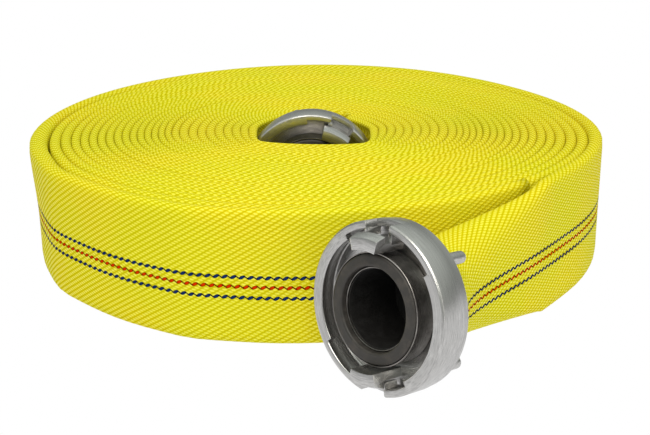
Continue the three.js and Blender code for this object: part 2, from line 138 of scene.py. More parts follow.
CAMERA_PLACE = Vector((0.6014, -0.5648, 0.301))  # metres from under the roll's centre
CAMERA_TURN = (46.43, 70.71, -0.3)  # about Z, then X, then the view's own axis
FOCAL_LENGTH = 65.3

camera_data = bpy.data.cameras.new("camera")
camera = bpy.data.objects.new("camera", camera_data)
bpy.context.scene.collection.objects.link(camera)
bpy.context.scene.camera = camera
camera_data.lens = FOCAL_LENGTH
camera_data.sensor_width = 36
camera_data.clip_start = 0.02
camera_data.clip_end = 30
round_z, round_x, roll_angle = (math.radians(angle) for angle in CAMERA_TURN)
view_turn = (
    Matrix.Rotation(round_z, 4, "Z") @ Matrix.Rotation(round_x, 4, "X") @ Matrix.Rotation(roll_angle, 4, "Z")
)
camera.matrix_world = Matrix.Translation(ROLL_CENTRE * MM + CAMERA_PLACE) @ view_turn

# ---- the roll's shape ----


def smooth(x):
    x = np.clip(x, 0, 1)
    return x * x * (3 - 2 * x)


def oval_radius(angle, half_x, half_y, shift_x, shift_y, front_power, back_power):
    """Radius of an oval in line with the inner coupling, at angles in degrees from the row's +X."""
    turned = np.radians(np.asarray(angle, float) - CORE_ANGLE)
    c, s = np.cos(turned), np.sin(turned)
    radius = np.full(c.shape, float(half_x))
    for _ in range(30):
        across = np.abs(radius * c - shift_x) / half_x
        along = (radius * s - shift_y) / half_y
        power = np.where(along < 0, front_power, back_power)
        radius = radius / (across**power + np.abs(along) ** power) ** (1 / power)
    return radius


def core_radius(angle):
    return oval_radius(
        angle, CORE_HALF_X, CORE_HALF_Y, 0, CORE_SHIFT_Y, CORE_FRONT_POWER, CORE_BACK_POWER
    )


def leaning_radius(angle):
    return oval_radius(
        angle, LEAN_HALF_X, LEAN_HALF_Y, LEAN_SHIFT_X, LEAN_SHIFT_Y, LEAN_FRONT_POWER, LEAN_BACK_POWER
    )


def away(angle, at):
    """Degrees from one angle to another, at most half a turn."""
    return (np.asarray(angle) - at + 180) % 360 - 180


def bump(angle, at, height, spread):
    return height * np.exp(-((away(angle, at) / spread) ** 2))


mean_core = core_radius(np.arange(0, 360, 2)).mean()
wound_depth = ROLL_RADIUS - mean_core
inner_turns = TURNS + 0.5 - len(OUTER_PITCHES)
inner_pitch = (wound_depth - sum(OUTER_PITCHES)) / inner_turns
inner_pitches = [
    inner_pitch + INNER_TAPER * (0.5 - i / inner_turns) for i in range(int(inner_turns))
]
pitches = np.array(OUTER_PITCHES + inner_pitches + [CORE_STEP] * 4)
wound = np.concatenate([[0], np.cumsum(pitches)])
wound_depth = np.interp(TURNS + 0.5, np.arange(len(wound)), wound)


def face_radius(angle):
    """Radius of the hose's outer face after an angle in degrees of winding from the outside."""
    angle = np.asarray(angle, float)
    turn = np.clip(np.floor(angle / 360), 0, len(pitches) - 1).astype(int)
    share = angle / 360 - turn
    weight = np.where(turn < 1, PLUNGE_WEIGHTS[0], PLUNGE_WEIGHTS[1] * np.exp(-turn / PLUNGE_FADE))
    plunge = smooth((share - PLUNGE_START) / (PLUNGE_END - PLUNGE_START))
    depth = wound[turn] + pitches[turn] * ((1 - weight) * share + weight * plunge)
    turns = angle / 360
    waves = sum(bump(angle, *wave) for wave in WAVES) * (1 - smooth((turns - 1) / WAVE_FADE))
    corners = sum(bump(angle, *corner) for corner in CORNERS) * (1 - smooth((turns - 1) / CORNER_FADE))
    part = depth / wound_depth
    at, distance, full = SHIFT
    shift = distance * np.cos(np.radians(angle - at)) * smooth(turns / full) * (1 - part**2)
    return (ROLL_RADIUS + waves + corners) * (1 - part) + core_radius(angle) * part + shift


def thickness(angle):
    """Thickness of the flat hose: it fills its pitch, apart from the slack outer turns."""
    free = face_radius(angle) - face_radius(np.asarray(angle) + 360) - 0.1
    slack = np.interp(
        np.asarray(angle) / 360, [0.5, 1.5, 2.2], OUTER_TURN_THICKNESS + [50]
    )
    return np.minimum(free, slack)


# ---- sections of the hose ----


def resampled(points, fractions):
    """Points along a closed line at shares of its girth."""
    closed = np.vstack([points, points[:1]])
    lengths = np.concatenate(
        [[0], np.cumsum(np.linalg.norm(np.diff(closed, axis=0), axis=1))]
    )
    at = fractions * lengths[-1]
    return np.stack([np.interp(at, lengths, closed[:, i]) for i in (0, 1)], axis=1)


def flat_outline(t, width, fold):
    """A flattened tube, t thick, with straight faces and round folds. It starts at the inner face's middle,
    and goes over the bottom fold, up the outer face and over the top fold. Columns: outwards and upwards."""
    side, end = t / 2, width / 2
    arc = np.radians(np.linspace(0, 90, 9))
    corner = fold * np.stack([np.sin(arc), -np.cos(arc)], axis=1)
    bottom_right = corner + [side - fold, fold - end]
    top_right = bottom_right[::-1] * [1, -1]
    half = np.vstack([bottom_right, top_right])
    left = half[::-1] * [-1, 1]
    loop = np.vstack([half, left])
    start = np.array([[-side, 0.0]])
    return np.vstack([start, left[len(left) // 2 :], half, left[: len(left) // 2]])


def round_outline(t, width):
    angle = np.radians(180 + np.linspace(0, 360, 181)[:-1])
    return np.stack([t / 2 * np.cos(angle), width / 2 * np.sin(angle)], axis=1)


def section(t, width, roundness, shares):
    fold = min(FOLD_LIMIT * t, FOLD_RADIUS + FOLD_GROWTH * max(0, t - FOLD_GROWTH_START))
    flat = resampled(flat_outline(t, width, fold), shares)
    if roundness <= 0:
        return flat
    return flat * (1 - roundness) + resampled(round_outline(t, width), shares) * roundness


def girth_shares(face, fold):
    """Shares of the girth for a section: face points on each side, and fold points over each fold."""
    fold_part = 0.06
    half = 0.5 - fold_part
    a = np.linspace(0, half / 2, face // 2 + 1)
    b = np.linspace(half / 2, half / 2 + fold_part, fold + 1)[1:]
    c = np.linspace(half / 2 + fold_part, 1 - half / 2 - fold_part, face + 1)[1:]
    d = np.linspace(1 - half / 2 - fold_part, 1 - half / 2, fold + 1)[1:]
    e = np.linspace(1 - half / 2, 1, face // 2 + 1)[1:-1]
    return np.concatenate([a, b, c, d, e])


def leaned(outline, t, width, lean):
    """The outline with its upper part moved sideways, by a distance for its outer face and one for its inner
    face: outwards over most of its height, or inwards near the top. The third distance is for its foot."""
    outer, inner, foot = lean
    start = FLARE_START if outer > 0 else LEAN_START
    share = outline[:, 1] / width + 0.5
    across = outline[:, 0] / t + 0.5
    moved = outline.copy()
    moved[:, 0] += (inner + (outer - inner) * across) * smooth((share - start) / (1 - start))
    moved[:, 0] += foot * across * smooth(1 - share / FOOT_TOP)
    return moved


def sweep(name, stations, shares):
    """A hose along stations of (centre, heading, thickness, width, roundness, lean) in mm, with a map of its
    weave: metres along the hose, and metres round it from the middle of its outer face."""
    rows, alongs, rounds = [], [], []
    travelled = 0
    last = None
    for centre, heading, t, width, roundness, lean in stations:
        heading = heading.normalized()
        side = heading.cross(Vector((0, 0, 1))).normalized()
        up = side.cross(heading).normalized()
        outline = leaned(section(t, width, roundness, shares), t, width, lean)
        rows.append(
            np.array(centre)
            + outline[:, :1] * np.array(side)
            + outline[:, 1:] * np.array(up)
        )
        closed = np.vstack([outline, outline[:1]])
        girth = np.concatenate(
            [[0], np.cumsum(np.linalg.norm(np.diff(closed, axis=0), axis=1))]
        )
        rounds.append(girth - girth[-1] / 2)
        if last is not None:
            travelled += (centre - last).length
        alongs.append(travelled)
        last = centre
    count = len(shares)
    verts = np.vstack(rows) * MM
    faces = []
    weave = []
    for i in range(len(rows) - 1):
        a0, a1 = alongs[i] * MM, alongs[i + 1] * MM
        g0, g1 = rounds[i] * MM, rounds[i + 1] * MM
        for j in range(count):
            k = (j + 1) % count
            faces.append(
                (i * count + j, i * count + k, (i + 1) * count + k, (i + 1) * count + j)
            )
            weave += [(a0, g0[j]), (a0, g0[j + 1]), (a1, g1[j + 1]), (a1, g1[j])]
    for base, travel, row, order in (
        (0, alongs[0], rounds[0], range(count - 1, -1, -1)),
        ((len(rows) - 1) * count, alongs[-1], rounds[-1], range(count)),
    ):
        faces.append(tuple(base + j for j in order))
        weave += [(travel * MM, row[j] * MM) for j in order]
    mesh = bpy.data.meshes.new(name)
    mesh.from_pydata(verts.tolist(), [], faces)
    layer = mesh.uv_layers.new(name="weave")
    layer.data.foreach_set("uv", np.array(weave, np.float32).ravel())
    mesh.polygons.foreach_set("use_smooth", np.arange(len(faces)) < len(faces) - 2)
    mesh.update()
    obj = bpy.data.objects.new(name, mesh)
    bpy.context.scene.collection.objects.link(obj)
    centres = [station[0] for station in stations]
    return obj, centres, travelled


def wound_station(angle):
    """The hose in the roll, where its edges stand a little uneven from turn to turn."""
    t = float(thickness(angle))
    lift = LEAD_LIFT * max(0, 1 - angle / LEAD_LIFT_ANGLE) ** 2
    middle = float(face_radius(angle)) + lift - t / 2
    a = math.radians(angle)
    turn = angle / 360
    settled = float(smooth(turn - SETTLING_START))
    back = float(bump(angle, *BACK))
    ripple = sum(
        height * math.sin(rate * turn + swing * math.sin(a * pace)) for height, rate, swing, pace in RIPPLES
    )
    inner_droop = SETTLING * (1 - BACK_LEVELLING * back) + ripple
    droop = BACK_SETTLING * back * (1 - settled) + settled * inner_droop
    width = HOSE_WIDTH - droop
    centre = ROLL_CENTRE + Vector((middle * math.cos(a), middle * math.sin(a), width / 2))
    if turn < 1:
        lean = (float(bump(angle, *FLARE)), 0, float(bump(angle, *FOOT)))
    else:
        inward = max(0, float(core_radius(angle) - leaning_radius(angle)))
        lean = tuple(-inward * max(0, 1 - (TURNS - turn + i) / LEANING_TURNS) for i in (1, 0)) + (0,)
    return centre, Vector((-math.sin(a), math.cos(a), 0)), t, width, 0, lean


def neck_width(t):
    full = 2 * JACKET_RADIUS
    return HOSE_WIDTH * (1 - (t / full) ** 2 * (1 - full / HOSE_WIDTH))


def bezier(points, share):
    a, b, c, d = points
    inverse = 1 - share
    return inverse**3 * a + 3 * inverse**2 * share * b + 3 * inverse * share**2 * c + share**3 * d


def on_tail(face, axis):
    """The hose's stations where it is round on a tail: inside its end, over the end and back along it."""
    full, inside = 2 * JACKET_RADIUS, 2 * LINING_RADIUS
    end, back = HOSE_START, TAIL_LENGTH + 1
    places = [(back, inside), (end, inside), (end, full)]
    places += [(y, full) for y in np.linspace(end, back, 9)[1:]]
    return [(face + axis * y, axis, size, size, 1, (0, 0, 0)) for y, size in places]


def outer_stations():
    axis = Vector((0, math.cos(math.radians(OUTER_TILT)), -math.sin(math.radians(OUTER_TILT))))
    full = 2 * JACKET_RADIUS
    stations = on_tail(OUTER_FACE, axis)
    start = OUTER_FACE + axis * (TAIL_LENGTH + 2)
    end, end_heading, end_thickness, _, _, end_lean = wound_station(0)
    arrival = Matrix.Rotation(math.radians(LEAD_LIFT_ANGLE), 3, "Z") @ end_heading
    handle = (end.y - start.y) / 4
    route = (start, start + axis * handle - Vector((LEAD_SWAY, 0, 0)), end - arrival * handle, end)
    for i in range(LEAD_STEPS):
        share = i / LEAD_STEPS
        opened = (1 - share) ** LEAD_FLATTENING
        t = end_thickness + (full - end_thickness) * opened
        lean = tuple(x * share for x in end_lean)
        width = HOSE_WIDTH - (HOSE_WIDTH - full) * (1 - share) ** LEAD_WIDENING
        heading = axis.lerp(end_heading, share)
        stations.append((bezier(route, share), heading, t, width, opened**0.5, lean))
    step = 360 / STEPS_PER_TURN
    stations += [wound_station(step * i) for i in range(STEPS_PER_TURN + 1)]
    return stations


def inner_stations():
    """From the second turn to the core's wall, then the sharp bend to the inner coupling's tail."""
    last = 360 * TURNS
    count = int(round((last - 360) / 360 * STEPS_PER_TURN))
    angles = 360 + (last - 360) * np.arange(count) / count
    stations = [wound_station(float(a)) for a in angles]
    turn = Matrix.Rotation(math.radians(INNER_YAW), 3, "Z")
    back = turn @ Vector((0, 1, 0))
    right = turn @ Vector((1, 0, 0))
    neck = on_tail(INNER_FACE, back)
    for i in range(BEND_STEPS + 1):
        share = i / BEND_STEPS
        angle = math.pi / 2 * share
        at = (
            INNER_FACE
            + back * (BEND_START + BEND_RADIUS * math.sin(angle))
            + right * BEND_RADIUS * (1 - math.cos(angle))
        )
        rise = float(smooth(BEND_RISE_START + (1 - BEND_RISE_START) * share))
        at.z = INNER_FACE.z + (HOSE_WIDTH / 2 - INNER_FACE.z) * rise
        t = BEND_THICKNESS + (CORE_STEP + 1 - BEND_THICKNESS) * float(smooth(share))
        heading = back * math.cos(angle) + right * math.sin(angle)
        roundness = 1 - float(smooth(1 - BEND_ROUND + share))
        neck.append((at, heading, t, neck_width(t), roundness, (0, 0, 0)))
    wall_end = wound_station(last)
    previous = neck[-1]
    middle = (previous[0] + wall_end[0]) / 2
    heading = previous[1] - wall_end[1]
    half_lean = tuple(x / 2 for x in wall_end[5])
    neck.append((middle, heading, (previous[2] + wall_end[2]) / 2, wall_end[3], 0, half_lean))
    reversed_neck = [(at, -heading, *rest) for at, heading, *rest in reversed(neck)]
    return stations + [wall_end] + reversed_neck


hose_turn, outer_line, outer_length = sweep("hose_outer_turn_jacket", outer_stations(), girth_shares(20, 10))
hose_roll, _, roll_length = sweep("hose_roll_jacket", inner_stations(), girth_shares(8, 9))
print(f"hose length: outer {outer_length:.0f} mm, roll {roll_length:.0f} mm")

# ---- the couplings, each in its own frame: the axis is Y, and the rim's front face is at 0 ----

RIM_RADIUS = 47.5
RING_DEPTH = 21
CHANNEL_DEPTH = 12.4
CHANNEL_RADIUS = 43.6
FLANGE_RADIUS = 40.2
FLANGE_DEPTH = 4.5
ENTRY_RADIUS = 43.2
STEP_AT = 15
STEP_DEPTH = 0.6
NOTCH_DEPTH = 9
ENTRY_ANGLES = (41, 127.5)
NOTCH_ANGLES = (84.5, 106)
LUG_ANGLES = (82.5, 111)
PEG_ANGLES = (50, 140, 230, 320)
PEG_CIRCLE = 40.8
PEG_RADIUS = 3.5
PEG_LENGTH = 15.5
RING_BORE = 28.4
LATHE_STEPS = 160
SHARP_ANGLE = 32
BEVEL_ANGLE = 28


def new_object(name, bm):
    bmesh.ops.remove_doubles(bm, verts=bm.verts, dist=1e-6)
    bmesh.ops.recalc_face_normals(bm, faces=bm.faces)
    mesh = bpy.data.meshes.new(name)
    bm.to_mesh(mesh)
    bm.free()
    obj = bpy.data.objects.new(name, mesh)
    bpy.context.scene.collection.objects.link(obj)
    return obj


def around(r, y, angle):
    a = math.radians(angle)
    return (r * math.cos(a) * MM, y * MM, r * math.sin(a) * MM)


def skin(bm, rows):
    """Faces from each row of vertices to the next. A row is a closed loop."""
    count = len(rows[0])
    for a, b in zip(rows, rows[1:]):
        for j in range(count):
            k = (j + 1) % count
            bm.faces.new((a[j], a[k], b[k], b[j]))


def cap(bm, rows):
    bm.faces.new(rows[0])
    bm.faces.new(rows[-1][::-1])


def lathe(bm, profile, steps=LATHE_STEPS):
    """A ring about Y from a closed profile of (radius, y)."""
    rows = [
        [bm.verts.new(around(r, y, 360 * i / steps)) for r, y in profile]
        for i in range(steps)
    ]
    skin(bm, rows + rows[:1])


def carry(bm, outline, start, end, steps):
    """An outline of (radius, y) carried round Y between two angles, with open ends."""
    rows = [
        [bm.verts.new(around(r, y, start + (end - start) * i / steps)) for r, y in outline]
        for i in range(steps + 1)
    ]
    skin(bm, rows)
    return rows


def arc_block(bm, outline, start, end, steps):
    """The same with flat ends."""
    cap(bm, carry(bm, outline, start, end, steps))


def shade_smooth(mesh, sharp):
    mesh.polygons.foreach_set("use_smooth", np.ones(len(mesh.polygons), bool))
    mesh.set_sharp_from_angle(angle=math.radians(sharp))


def finished(obj, bevel=None, sharp=SHARP_ANGLE):
    """Applies a bevel, and shades the mesh smooth up to the sharp angle."""
    if bevel:
        modifier = obj.modifiers.new("edge", "BEVEL")
        modifier.width = bevel * MM
        modifier.segments = 2
        modifier.limit_method = "ANGLE"
        modifier.angle_limit = math.radians(BEVEL_ANGLE)
        modifier.miter_outer = "MITER_ARC"
        bpy.context.view_layer.update()
        evaluated = obj.evaluated_get(bpy.context.evaluated_depsgraph_get())
        mesh = bpy.data.meshes.new_from_object(evaluated)
        obj.modifiers.clear()
        obj.data = mesh
    shade_smooth(obj.data, sharp)
    return obj


def finished_mesh(name, bm, sharp=SHARP_ANGLE):
    obj = finished(new_object(name, bm), sharp=sharp)
    mesh = obj.data
    bpy.data.objects.remove(obj)
    return mesh


def ring_profiles():
    """The lug ring's section where the flange is whole, where the mating lugs enter and at the notches, and
    the flat walls between them. Each outline shares its corners with its neighbours."""
    rear = [
        (RIM_RADIUS, STEP_AT),
        (RIM_RADIUS - STEP_DEPTH, STEP_AT + 0.25),
        (RIM_RADIUS - STEP_DEPTH, RING_DEPTH - 0.6),
        (RIM_RADIUS - STEP_DEPTH - 0.6, RING_DEPTH),
        (RING_BORE, RING_DEPTH),
        (RING_BORE, CHANNEL_DEPTH),
        (CHANNEL_RADIUS - 0.8, CHANNEL_DEPTH),
        (CHANNEL_RADIUS, CHANNEL_DEPTH - 0.8),
        (CHANNEL_RADIUS, NOTCH_DEPTH),
    ]
    front_edge = [(RIM_RADIUS - 0.9, 0), (RIM_RADIUS, 0.9), (RIM_RADIUS, NOTCH_DEPTH)]
    whole = rear + [
        (CHANNEL_RADIUS, FLANGE_DEPTH),
        (ENTRY_RADIUS, FLANGE_DEPTH),
        (FLANGE_RADIUS, FLANGE_DEPTH),
        (FLANGE_RADIUS, 0.5),
        (FLANGE_RADIUS + 0.5, 0),
        (ENTRY_RADIUS + 0.5, 0),
    ] + front_edge
    entry = rear + [
        (CHANNEL_RADIUS, FLANGE_DEPTH),
        (ENTRY_RADIUS, FLANGE_DEPTH),
        (ENTRY_RADIUS, 0.5),
        (ENTRY_RADIUS + 0.5, 0),
    ] + front_edge
    notch = rear + [(RIM_RADIUS, NOTCH_DEPTH)]
    entry_wall = [
        (ENTRY_RADIUS, FLANGE_DEPTH),
        (FLANGE_RADIUS, FLANGE_DEPTH),
        (FLANGE_RADIUS, 0.5),
        (FLANGE_RADIUS + 0.5, 0),
        (ENTRY_RADIUS + 0.5, 0),
        (ENTRY_RADIUS, 0.5),
    ]
    notch_wall = [
        (CHANNEL_RADIUS, NOTCH_DEPTH),
        (CHANNEL_RADIUS, FLANGE_DEPTH),
        (ENTRY_RADIUS, FLANGE_DEPTH),
        (ENTRY_RADIUS, 0.5),
        (ENTRY_RADIUS + 0.5, 0),
    ] + front_edge
    return whole, entry, notch, entry_wall, notch_wall


def lug_ring_mesh():
    whole, entry, notch, entry_wall, notch_wall = ring_profiles()
    bm = bmesh.new()

    def wall(outline, angle):
        bm.faces.new([bm.verts.new(around(r, y, angle)) for r, y in outline])

    stretches = [
        (entry, ENTRY_ANGLES[0], NOTCH_ANGLES[0]),
        (notch, NOTCH_ANGLES[0], NOTCH_ANGLES[1]),
        (entry, NOTCH_ANGLES[1], ENTRY_ANGLES[1]),
        (whole, ENTRY_ANGLES[1], ENTRY_ANGLES[0] + 180),
    ]
    for half in (0, 180):
        for profile, start, end in stretches:
            steps = max(2, round((end - start) / 360 * LATHE_STEPS))
            carry(bm, profile, start + half, end + half, steps)
        for angle in ENTRY_ANGLES:
            wall(entry_wall, angle + half)
        for angle in NOTCH_ANGLES:
            wall(notch_wall, angle + half)
    ring = finished(new_object("ring_body", bm), bevel=0.3)

    # The two lugs, the thin tooth and the rib beside each notch, and the spanner pegs.
    bm = bmesh.new()
    lug = [
        (33, CHANNEL_DEPTH + 2),
        (33, -9.5),
        (39.7, -9.5),
        (42, -3.2),
        (41.3, -2.6),
        (38, -2.6),
        (38, CHANNEL_DEPTH + 2),
    ]
    tooth = [(39.4, NOTCH_DEPTH + 1), (39.4, 0.2), (43.5, 0.2), (43.5, NOTCH_DEPTH + 1)]
    rib = [(37, CHANNEL_DEPTH + 1), (37, 2.2), (43.8, 0.6), (43.8, CHANNEL_DEPTH + 1)]
    for half in (0, 180):
        arc_block(bm, lug, LUG_ANGLES[0] + half, LUG_ANGLES[1] + half, 14)
        arc_block(bm, tooth, NOTCH_ANGLES[1] - 2.4 + half, NOTCH_ANGLES[1] + 1.6 + half, 3)
        arc_block(bm, rib, NOTCH_ANGLES[0] - 2.6 + half, NOTCH_ANGLES[0] + half, 3)
    lugs = finished(new_object("ring_lugs", bm), bevel=0.35)

    bm = bmesh.new()
    steps = 24
    dome = 3
    shoulder = RING_DEPTH + PEG_LENGTH - 0.1 - dome
    outline = [(PEG_RADIUS, RING_DEPTH - 2), (PEG_RADIUS, shoulder)]
    outline += [
        (PEG_RADIUS * math.cos(math.radians(a)), shoulder + dome * math.sin(math.radians(a)))
        for a in (20, 40, 60, 78)
    ]
    for angle in PEG_ANGLES:
        a = math.radians(angle)
        centre = Vector((PEG_CIRCLE * math.cos(a), 0, PEG_CIRCLE * math.sin(a))) * MM
        rows = [
            [bm.verts.new(centre + Vector(around(r, y, 360 * i / steps))) for i in range(steps)]
            for r, y in outline
        ]
        skin(bm, rows)
        cap(bm, rows)
    pegs = finished(new_object("ring_pegs", bm))
    return joined("lug_ring", [ring, lugs, pegs])


def joined(name, objects):
    """One mesh of several objects' meshes, which are removed."""
    bm = bmesh.new()
    for obj in objects:
        bm.from_mesh(obj.data)
    mesh = bpy.data.meshes.new(name)
    bm.to_mesh(mesh)
    bm.free()
    for obj in objects:
        bpy.data.objects.remove(obj)
    shade_smooth(mesh, SHARP_ANGLE)
    return mesh


def lathe_mesh(name, profile, sharp=SHARP_ANGLE):
    bm = bmesh.new()
    lathe(bm, profile)
    return finished_mesh(name, bm, sharp)


TAIL_PROFILE = [
    (22, 2.0), (22.1, 1.6), (22.4, 1.5), (22.7, 1.6), (22.8, 1.9), (22.8, 5.3), (30.3, 5.3), (30.3, -0.5),
    (30.45, -0.8), (30.85, -0.8), (31, -0.6), (31, 12.1), (28, 12.1), (28, 22.6), (26.6, 22.6), (26.6, 24.9),
    (28, 24.9), (28, 25.1), (27.8, 25.3), (25.9, 25.3), (25.9, 28), (25.1, 29), (25.1, 31), (25.9, 34),
    (25.1, 35), (25.1, 37), (24.3, 40), (22, 40),
]
SEAL_PROFILE = [
    (23.2, 5), (23.2, -0.6), (23.4, -1.3), (24.0, -1.75), (25.0, -1.8), (26.6, -1.55), (28.4, -1.7),
    (29.2, -1.6), (29.7, -1.2), (29.9, -0.6), (29.9, 5),
]
SLIDE_PROFILE = [(28.3, 21.3), (32.8, 21.3), (33, 21.5), (33, 22.3), (32.8, 22.5), (28.3, 22.5)]
LINING_PROFILE = [(26.2, 25.6), (27, 25.6), (27, 40.6), (26.2, 40.6)]
# The dark skin inside the tail's bore: painted shade along the aluminium bore, closed by a disc for the flat
# hose's rubber inside behind it.
BORE_PAINTED_SHADE_AND_HOSE_END_PROFILE = [(21.95, 3), (21.95, 40.2), (0.01, 40.2), (0.01, 39.8), (21.6, 39.8), (21.6, 3)]


def snap_ring_mesh():
    bm = bmesh.new()
    outline = [(26.9, 22.9), (30.4, 22.9), (30.6, 23.1), (30.6, 24.4), (30.4, 24.6), (26.9, 24.6)]
    arc_block(bm, outline, 100, 440, 120)
    return finished_mesh("snap_ring", bm, sharp=40)


def lining_mesh():
    """The lining over the tail, and a dark rubber skin inside its bore: along the tail's aluminium bore it is
    painted shade, and its end disc stands for the flat hose's rubber inside, which closes behind.
    """
    bm = bmesh.new()
    lathe(bm, LINING_PROFILE)
    lathe(bm, BORE_PAINTED_SHADE_AND_HOSE_END_PROFILE, 96)
    return finished_mesh("hose_lining", bm)


def wire_mesh(start):
    """Two close turns of wire round the hose."""
    radius, wire, turns, pitch, sides = JACKET_RADIUS + 1.7, 0.9, 2, 1.95, 12
    steps = turns * 72
    bm = bmesh.new()
    corners = [2 * math.pi * j / sides for j in range(sides)]
    rows = []
    for i in range(steps + 1):
        angle = 360 * turns * i / steps
        y = start + pitch * turns * i / steps
        rows.append([
            bm.verts.new(around(radius + wire * math.cos(corner), y + wire * math.sin(corner), angle))
            for corner in corners
        ])
    skin(bm, rows)
    cap(bm, rows)
    return finished_mesh("wire", bm, sharp=50)


# ---- materials ----


class Nodes:
    """A material's node tree, with short calls for its nodes. Inputs are sockets or numbers."""

    def __init__(self, name):
        self.material = bpy.data.materials.new(name)
        self.material.use_nodes = True
        self.tree = self.material.node_tree
        self.shader = self.tree.nodes["Principled BSDF"]

    def add(self, kind, **settings):
        node = self.tree.nodes.new(kind)
        for key, value in settings.items():
            setattr(node, key, value)
        return node

    def put(self, value, socket):
        if isinstance(value, bpy.types.NodeSocket):
            self.tree.links.new(value, socket)
        else:
            socket.default_value = value

    def calc(self, operation, *values):
        node = self.add("ShaderNodeMath", operation=operation)
        for value, socket in zip(values, node.inputs):
            self.put(value, socket)
        return node.outputs[0]

    def ramp(self, value, low, high, to_low=0.0, to_high=1.0):
        node = self.add("ShaderNodeMapRange", interpolation_type="SMOOTHSTEP")
        for item, socket in zip((value, low, high, to_low, to_high), node.inputs):
            self.put(item, socket)
        return node.outputs[0]

    def mix(self, factor, a, b):
        node = self.add("ShaderNodeMix", data_type="RGBA")
        self.put(factor, node.inputs[0])
        self.put(a, node.inputs[6])
        self.put(b, node.inputs[7])
        return node.outputs[2]

    def noise(self, vector, scale, detail=2, roughness=0.5):
        node = self.add("ShaderNodeTexNoise")
        self.put(vector, node.inputs["Vector"])
        node.inputs["Scale"].default_value = scale
        node.inputs["Detail"].default_value = detail
        node.inputs["Roughness"].default_value = roughness
        return node.outputs["Fac"]

    def place(self):
        return self.add("ShaderNodeTexCoord").outputs["Object"]

    def apart(self, vector):
        node = self.add("ShaderNodeSeparateXYZ")
        self.put(vector, node.inputs[0])
        return node.outputs

    def from_axis(self, place):
        """Distance from the coupling's axis, and the way along it."""
        x, y, z = self.apart(place)
        squares = self.calc("ADD", self.calc("MULTIPLY", x, x), self.calc("MULTIPLY", z, z))
        return self.calc("SQRT", squares), y

    def together(self, x, y, z):
        node = self.add("ShaderNodeCombineXYZ")
        for value, socket in zip((x, y, z), node.inputs):
            self.put(value, socket)
        return node.outputs[0]

    def bump(self, height, distance):
        node = self.add("ShaderNodeBump")
        node.inputs["Strength"].default_value = 1.0
        node.inputs["Distance"].default_value = distance
        self.put(height, node.inputs["Height"])
        self.put(node.outputs[0], self.shader.inputs["Normal"])

    def set(self, **values):
        for key, value in values.items():
            self.put(value, self.shader.inputs[key.replace("_", " ")])


def rgb(r, g, b):
    """A display colour, 0 to 255, as a linear one."""
    return tuple(
        c / 12.92 if c <= 0.04045 else ((c + 0.055) / 1.055) ** 2.4
        for c in (r / 255, g / 255, b / 255)
    ) + (1,)


WEFT = 1.8 * MM  # spacing of the yarns that go round the hose
WARP = 1.245 * MM  # and of those along it
WEFT_SLANT = 0.093  # how far a weft yarn runs along the hose on its way up the face
THREAD_PERIOD = 5.0 * MM
STITCH = 0.66  # share of a period that the marker thread lies on top
THREAD_CLIMB = 1.3 * MM  # how far a stitch rises across the face
LINK_HALF = 0.48 * MM  # half the width of the thread between two stitches
STITCH_HALF = 0.65 * MM  # and how much wider a stitch is
THREADS = [  # height from the middle of the face, and the colour, of each marker thread
    (0.7, rgb(18, 44, 96)),
    (-5.3, rgb(206, 46, 0)),
    (-12.0, rgb(18, 44, 96)),
]


def marker_thread(n, u, v, offset):
    """How far inside a marker thread a point is, and how near the middle of a stitch."""
    above = n.calc("SUBTRACT", v, offset * MM)
    part = n.calc("FRACT", n.calc("DIVIDE", n.calc("ADD", u, offset * 0.37 * MM), THREAD_PERIOD))
    rise = n.calc("DIVIDE", part, STITCH)
    fall = n.calc("DIVIDE", n.calc("SUBTRACT", 1.0, part), 1 - STITCH)
    climb = n.calc("MINIMUM", rise, fall)
    middle_line = n.calc("MULTIPLY", n.calc("SUBTRACT", climb, 0.5), THREAD_CLIMB)
    distance = n.calc("ABSOLUTE", n.calc("SUBTRACT", above, middle_line))
    fullness = n.calc("SINE", n.calc("MULTIPLY", n.calc("MINIMUM", rise, 1.0), math.pi))
    swelling = n.calc("POWER", n.calc("MAXIMUM", fullness, 0.0), 0.6)
    half = n.calc("MULTIPLY_ADD", swelling, STITCH_HALF, LINK_HALF)
    return n.calc("SUBTRACT", half, distance), fullness


